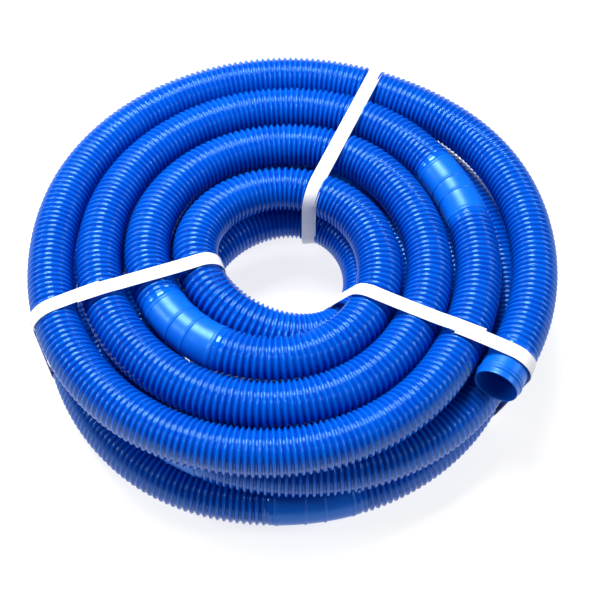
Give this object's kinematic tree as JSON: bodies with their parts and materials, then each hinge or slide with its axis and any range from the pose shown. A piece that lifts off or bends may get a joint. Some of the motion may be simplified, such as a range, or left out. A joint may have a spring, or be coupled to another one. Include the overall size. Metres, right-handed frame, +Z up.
{
  "type": "pool vacuum hose",
  "caption": "Corrugated pool vacuum hose with moulded cuffs and open cuffed ends, wound in three layers and tied with flat straps.",
  "frame": {"origin": "middle of the coil's footprint, on the surface that it lies on", "axes": "+Z up along the coil's axis; the outer end cuff opens at the right-hand front, near azimuth 323 degrees from +X towards +Y"},
  "size_m": [0.4876, 0.481, 0.1315],
  "materials": {
    "corrugated_hose": "glossy blue, blow-moulded",
    "cuff": "satin blue, moulded in one with the hose",
    "strap": "white strapping band"
  },
  "bodies": {
    "root": {"hose_length_1": "corrugated_hose", "hose_length_2": "corrugated_hose", "hose_length_3": "corrugated_hose", "hose_length_4": "corrugated_hose", "hose_length_5": "corrugated_hose", "hose_length_6": "corrugated_hose", "cuff_joint_1": "cuff", "cuff_joint_2": "cuff", "cuff_joint_3": "cuff", "cuff_joint_4": "cuff", "cuff_joint_5": "cuff", "end_cuff_outer": "cuff", "end_cuff_inner": "cuff", "strap_back": "strap", "strap_left": "strap", "strap_right": "strap"}
  },
  "joints": []
}
